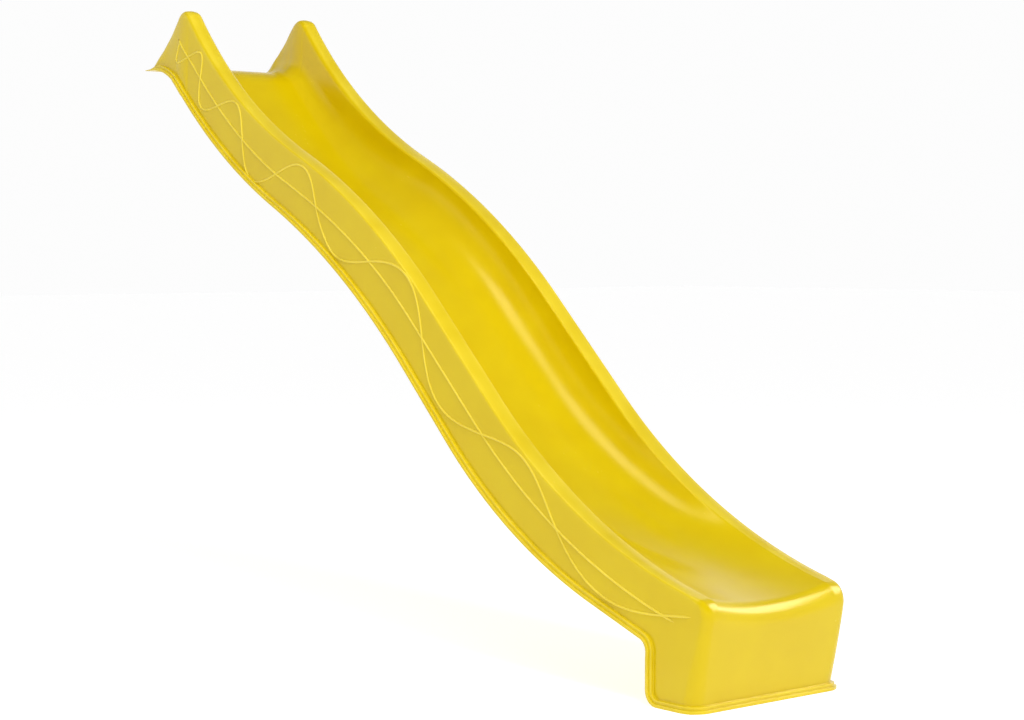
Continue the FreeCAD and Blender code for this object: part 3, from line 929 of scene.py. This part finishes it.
class SLIDE_OT_relief(bpy.types.Operator):
    """Builds the raised lines on both outer walls"""
    bl_idname = "slide.relief"
    bl_label = "Wall Relief"

    def execute(self, context):
        s = context.scene.slide_shape
        r = context.scene.slide_relief
        profile = Profile(s)
        # The raised lines are painted pale, partly as rubbing wear and partly as painted highlight.
        material = rubbed_and_highlit_polyethylene(context.scene.slide_colours)
        for side, word in ((1, "left"), (-1, "right")):
            for swing_on, kind in ((False, "line"), (True, "wave")):
                line = relief_line(r, profile, swing_on)
                rib = build_rib(s, r, profile, line, side)
                new_piece("relief_%s_%s" % (kind, word), rib, material, radians(60))
        return {"FINISHED"}


class SLIDE_OT_foot_lugs(bpy.types.Operator):
    """Builds the two lugs with peg holes inside the foot"""
    bl_idname = "slide.foot_lugs"
    bl_label = "Foot Lugs"

    def execute(self, context):
        s = context.scene.slide_shape
        profile = Profile(s)
        material = bpy.data.materials["moulded_polyethylene"]
        x = profile.front - s.foot_length / 2
        y = s.body_half - s.wall - (LUG_WIDTH - LUG_IN_WALL) / 2
        for side, word in ((1, "left"), (-1, "right")):
            centre = (x, side * y, profile.ground)
            lug = build_lug(centre)
            new_piece("foot_lug_" + word, lug, material, radians(40))
        return {"FINISHED"}


class SLIDE_OT_fixings(bpy.types.Operator):
    """Gives the head screws and washers their metal"""
    bl_idname = "slide.fixings"
    bl_label = "Head Fixings"

    def execute(self, context):
        material = bright_stainless(context.scene.slide_colours)
        for name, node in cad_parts.items():
            if name.startswith("head_"):
                node.data.materials.clear()
                node.data.materials.append(material)
        return {"FINISHED"}


# Each light: name, offset from the slide's middle, length, height, power and the rays that don't see it.
LIGHTS = (
    ("key_softbox", (2.6, -0.7, 2.8), 1.3, 1.3, 116, "visible_glossy"),
    ("streak_softbox", (0.3, -1.3, 3.0), 1.0, 1.0, 14, None),
    ("far_softbox", (2.2, 2.8, 1.85), 1.8, 2.0, 84, "visible_diffuse"),
)
CAMERA_PLACE = (5.5174, -3.4542, -0.5141)
CAMERA_LENS, CAMERA_TILT, CAMERA_TURN = 77.34, radians(90 - 2.84), radians(50.47)


class SLIDE_OT_stage(bpy.types.Operator):
    """Builds the pale floor, the soft studio light and the camera"""
    bl_idname = "slide.stage"
    bl_label = "Studio Stage"

    def execute(self, context):
        scene = context.scene
        low, high = CAD_BOX
        bm = bmesh.new()
        bmesh.ops.create_grid(bm, x_segments=1, y_segments=1, size=40)
        mesh = bpy.data.meshes.new("studio_floor")
        bm.to_mesh(mesh)
        bm.free()
        floor = bpy.data.objects.new("studio_floor", mesh)
        floor.location = (1.0, 0, low[2])
        scene.collection.objects.link(floor)
        mesh.materials.append(stage_paper(scene.slide_colours))
        world = bpy.data.worlds.new("studio_world")
        world.use_nodes = True
        tree = world.node_tree
        where = add_node(tree, "ShaderNodeTexCoord").outputs["Generated"]
        height = add_node(tree, "ShaderNodeSeparateXYZ", [(where, "Vector")]).outputs["Z"]
        fade = add_node(tree, "ShaderNodeMapRange", [(height, "Value")], interpolation_type="SMOOTHSTEP",
                        From_Min=0.32, From_Max=0.7, To_Min=0.98, To_Max=0.16)
        tree.links.new(fade.outputs["Result"], tree.nodes["Background"].inputs["Strength"])
        tree.nodes["Background"].inputs["Color"].default_value = (1, 1, 1, 1)
        scene.world = world
        middle = Vector(((low[0] + high[0]) / 2, 0, (low[2] + high[2]) / 2))
        for light in LIGHTS:
            self.add_light(scene, middle, *light)
        camera = bpy.data.cameras.new("camera")
        camera.lens = CAMERA_LENS
        camera.sensor_width = 36
        camera.clip_end = 100
        view = bpy.data.objects.new("camera", camera)
        view.location = CAMERA_PLACE
        view.rotation_euler = (CAMERA_TILT, 0, CAMERA_TURN)
        scene.collection.objects.link(view)
        scene.camera = view
        scene.view_settings.view_transform = "Standard"
        return {"FINISHED"}

    def add_light(self, scene, target, name, offset, length, height, power, unseen):
        """A rectangular softbox that faces the target."""
        data = bpy.data.lights.new(name, "AREA")
        data.shape = "RECTANGLE"
        data.size = length
        data.size_y = height
        data.energy = power
        lamp = bpy.data.objects.new(name, data)
        lamp.location = target + Vector(offset)
        lamp.rotation_euler = (-Vector(offset)).to_track_quat("-Z", "Y").to_euler()
        if unseen:
            setattr(lamp, unseen, False)
        scene.collection.objects.link(lamp)


class SLIDE_PT_panel(bpy.types.Panel):
    """Lists the slide's pieces and sizes"""
    bl_idname = "SLIDE_PT_panel"
    bl_label = "Wave Slide"
    bl_space_type = "VIEW_3D"
    bl_region_type = "UI"
    bl_category = "Wave Slide"

    def draw(self, context):
        layout = self.layout
        for operator in OPERATORS:
            layout.operator(operator.bl_idname)
        for group in (context.scene.slide_shape, context.scene.slide_relief, context.scene.slide_colours):
            box = layout.box()
            for name in group.bl_rna.properties.keys():
                if name not in ("rna_type", "name"):
                    box.prop(group, name)


OPERATORS = (SLIDE_OT_moulding, SLIDE_OT_relief, SLIDE_OT_foot_lugs, SLIDE_OT_fixings, SLIDE_OT_stage)
CLASSES = (SlideShape, SlideRelief, SlideColours) + OPERATORS + (SLIDE_PT_panel,)


def register():
    for item in CLASSES:
        bpy.utils.register_class(item)
    bpy.types.Scene.slide_shape = PointerProperty(type=SlideShape)
    bpy.types.Scene.slide_relief = PointerProperty(type=SlideRelief)
    bpy.types.Scene.slide_colours = PointerProperty(type=SlideColours)


def unregister():
    del bpy.types.Scene.slide_colours
    del bpy.types.Scene.slide_relief
    del bpy.types.Scene.slide_shape
    for item in reversed(CLASSES):
        bpy.utils.unregister_class(item)


def main():
    register()
    bpy.ops.slide.moulding()
    bpy.ops.slide.relief()
    bpy.ops.slide.foot_lugs()
    bpy.ops.slide.fixings()
    bpy.ops.slide.stage()


if __name__ == "__main__":
    main()
